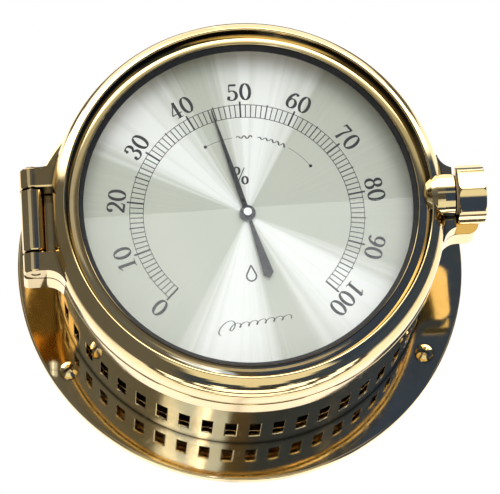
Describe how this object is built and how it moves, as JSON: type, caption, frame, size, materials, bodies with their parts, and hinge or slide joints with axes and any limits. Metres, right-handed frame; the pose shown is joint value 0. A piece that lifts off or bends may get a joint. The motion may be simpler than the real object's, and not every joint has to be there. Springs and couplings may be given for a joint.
{
  "type": "dial hygrometer",
  "caption": "Round brass wall hygrometer in a porthole case with a vented wall, a hinged glass door, a thumb latch and a pointer over a percent scale.",
  "frame": {"origin": "centre of the mounting flange's back face, on the wall plane", "axes": "+Z towards twelve o'clock, dial faces -Y, +X to the right as the dial is read"},
  "size_m": [0.1209, 0.0732, 0.12],
  "materials": {
    "polished_brass": "mirror polished and lacquered",
    "plain_brass": "turned and stamped, satin",
    "steel": "bright turned",
    "seal": "matte",
    "glass": "clear flat glass",
    "fibre": "pressed fibre",
    "dial_silver": "sun-brushed silver",
    "dark_metal": "matte black",
    "pointer_black": "semi-gloss black",
    "spring_steel": "blued",
    "hair": "degreased hair bundle"
  },
  "bodies": {
    "case": {"mounting_flange": "polished_brass", "flange_screws": "polished_brass", "vented_wall": "polished_brass", "case_rim": "polished_brass", "door_gasket": "seal", "latch_catch": "plain_brass", "hinge_pin": "polished_brass", "dial_plate": "dial_silver", "dial_support": "dark_metal", "support_screws": "steel", "front_plate": "plain_brass", "rear_bridge": "plain_brass", "dial_pillars": "plain_brass", "movement_pillars": "plain_brass", "bridge_screws": "steel", "front_bush": "plain_brass", "rear_bush": "plain_brass", "hairspring": "spring_steel", "spring_stud": "plain_brass", "sector_bushes": "plain_brass", "hair_anchor": "plain_brass", "calibration_bush": "plain_brass", "back_cover": "plain_brass", "cover_screws": "steel"},
    "door": {"door_ring": "polished_brass", "glass_seal": "seal", "door_glass": "glass", "glass_retainer": "plain_brass"},
    "latch_carrier": {"latch_washer": "fibre"},
    "latch": {"latch_screw": "steel", "latch_knob": "polished_brass"},
    "pointer": {"pointer_arbor": "steel", "pointer_pinion": "plain_brass", "pointer_hand": "pointer_black", "pointer_hub": "steel", "spring_collet": "plain_brass"},
    "sector": {"sector_arbor": "steel", "sector_gear": "plain_brass", "hair_lever": "plain_brass"},
    "hair": {"hair_strand": "hair", "hair_ferrules": "steel"},
    "calibration": {"calibration_screw": "steel"}
  },
  "joints": [
    {"name": "door_swing", "type": "hinge", "parent": "case", "child": "door", "pos_m": [-0.0552, -0.0472, 0], "axis": [0, 0, -1], "range_deg": [0, 115]},
    {"name": "latch_travel", "type": "slide", "parent": "door", "child": "latch_carrier", "axis": [1, 0, 0], "range_m": [0, 0.00215]},
    {"name": "latch_turn", "type": "hinge", "parent": "latch_carrier", "child": "latch", "pos_m": [0.05, -0.0517, 0], "axis": [1, 0, 0], "range_deg": [0, 1080]},
    {"name": "sector_turn", "type": "hinge", "parent": "case", "child": "sector", "pos_m": [0, -0.03, -0.022], "axis": [0, 1, 0], "range_deg": [-14.98, 12.01]},
    {"name": "pointer_turn", "type": "hinge", "parent": "case", "child": "pointer", "pos_m": [0, -0.03, 0], "axis": [0, 1, 0], "range_deg": [-120.15, 149.85]},
    {"name": "hair_stretch", "type": "slide", "parent": "case", "child": "hair", "axis": [0, 0, 1], "range_m": [-0.0016, 0.0013]},
    {"name": "calibration_turn", "type": "hinge", "parent": "case", "child": "calibration", "pos_m": [0, -0.02, 0.032], "axis": [0, 1, 0], "range_deg": [-180, 180]}
  ],
  "couplings": [
    {"joint": "latch_travel", "follows": "latch_turn", "m_per_rad": 0.00011141},
    {"joint": "pointer_turn", "follows": "sector_turn", "ratio": -10},
    {"joint": "hair_stretch", "follows": "sector_turn", "m_per_rad": 0.006}
  ]
}
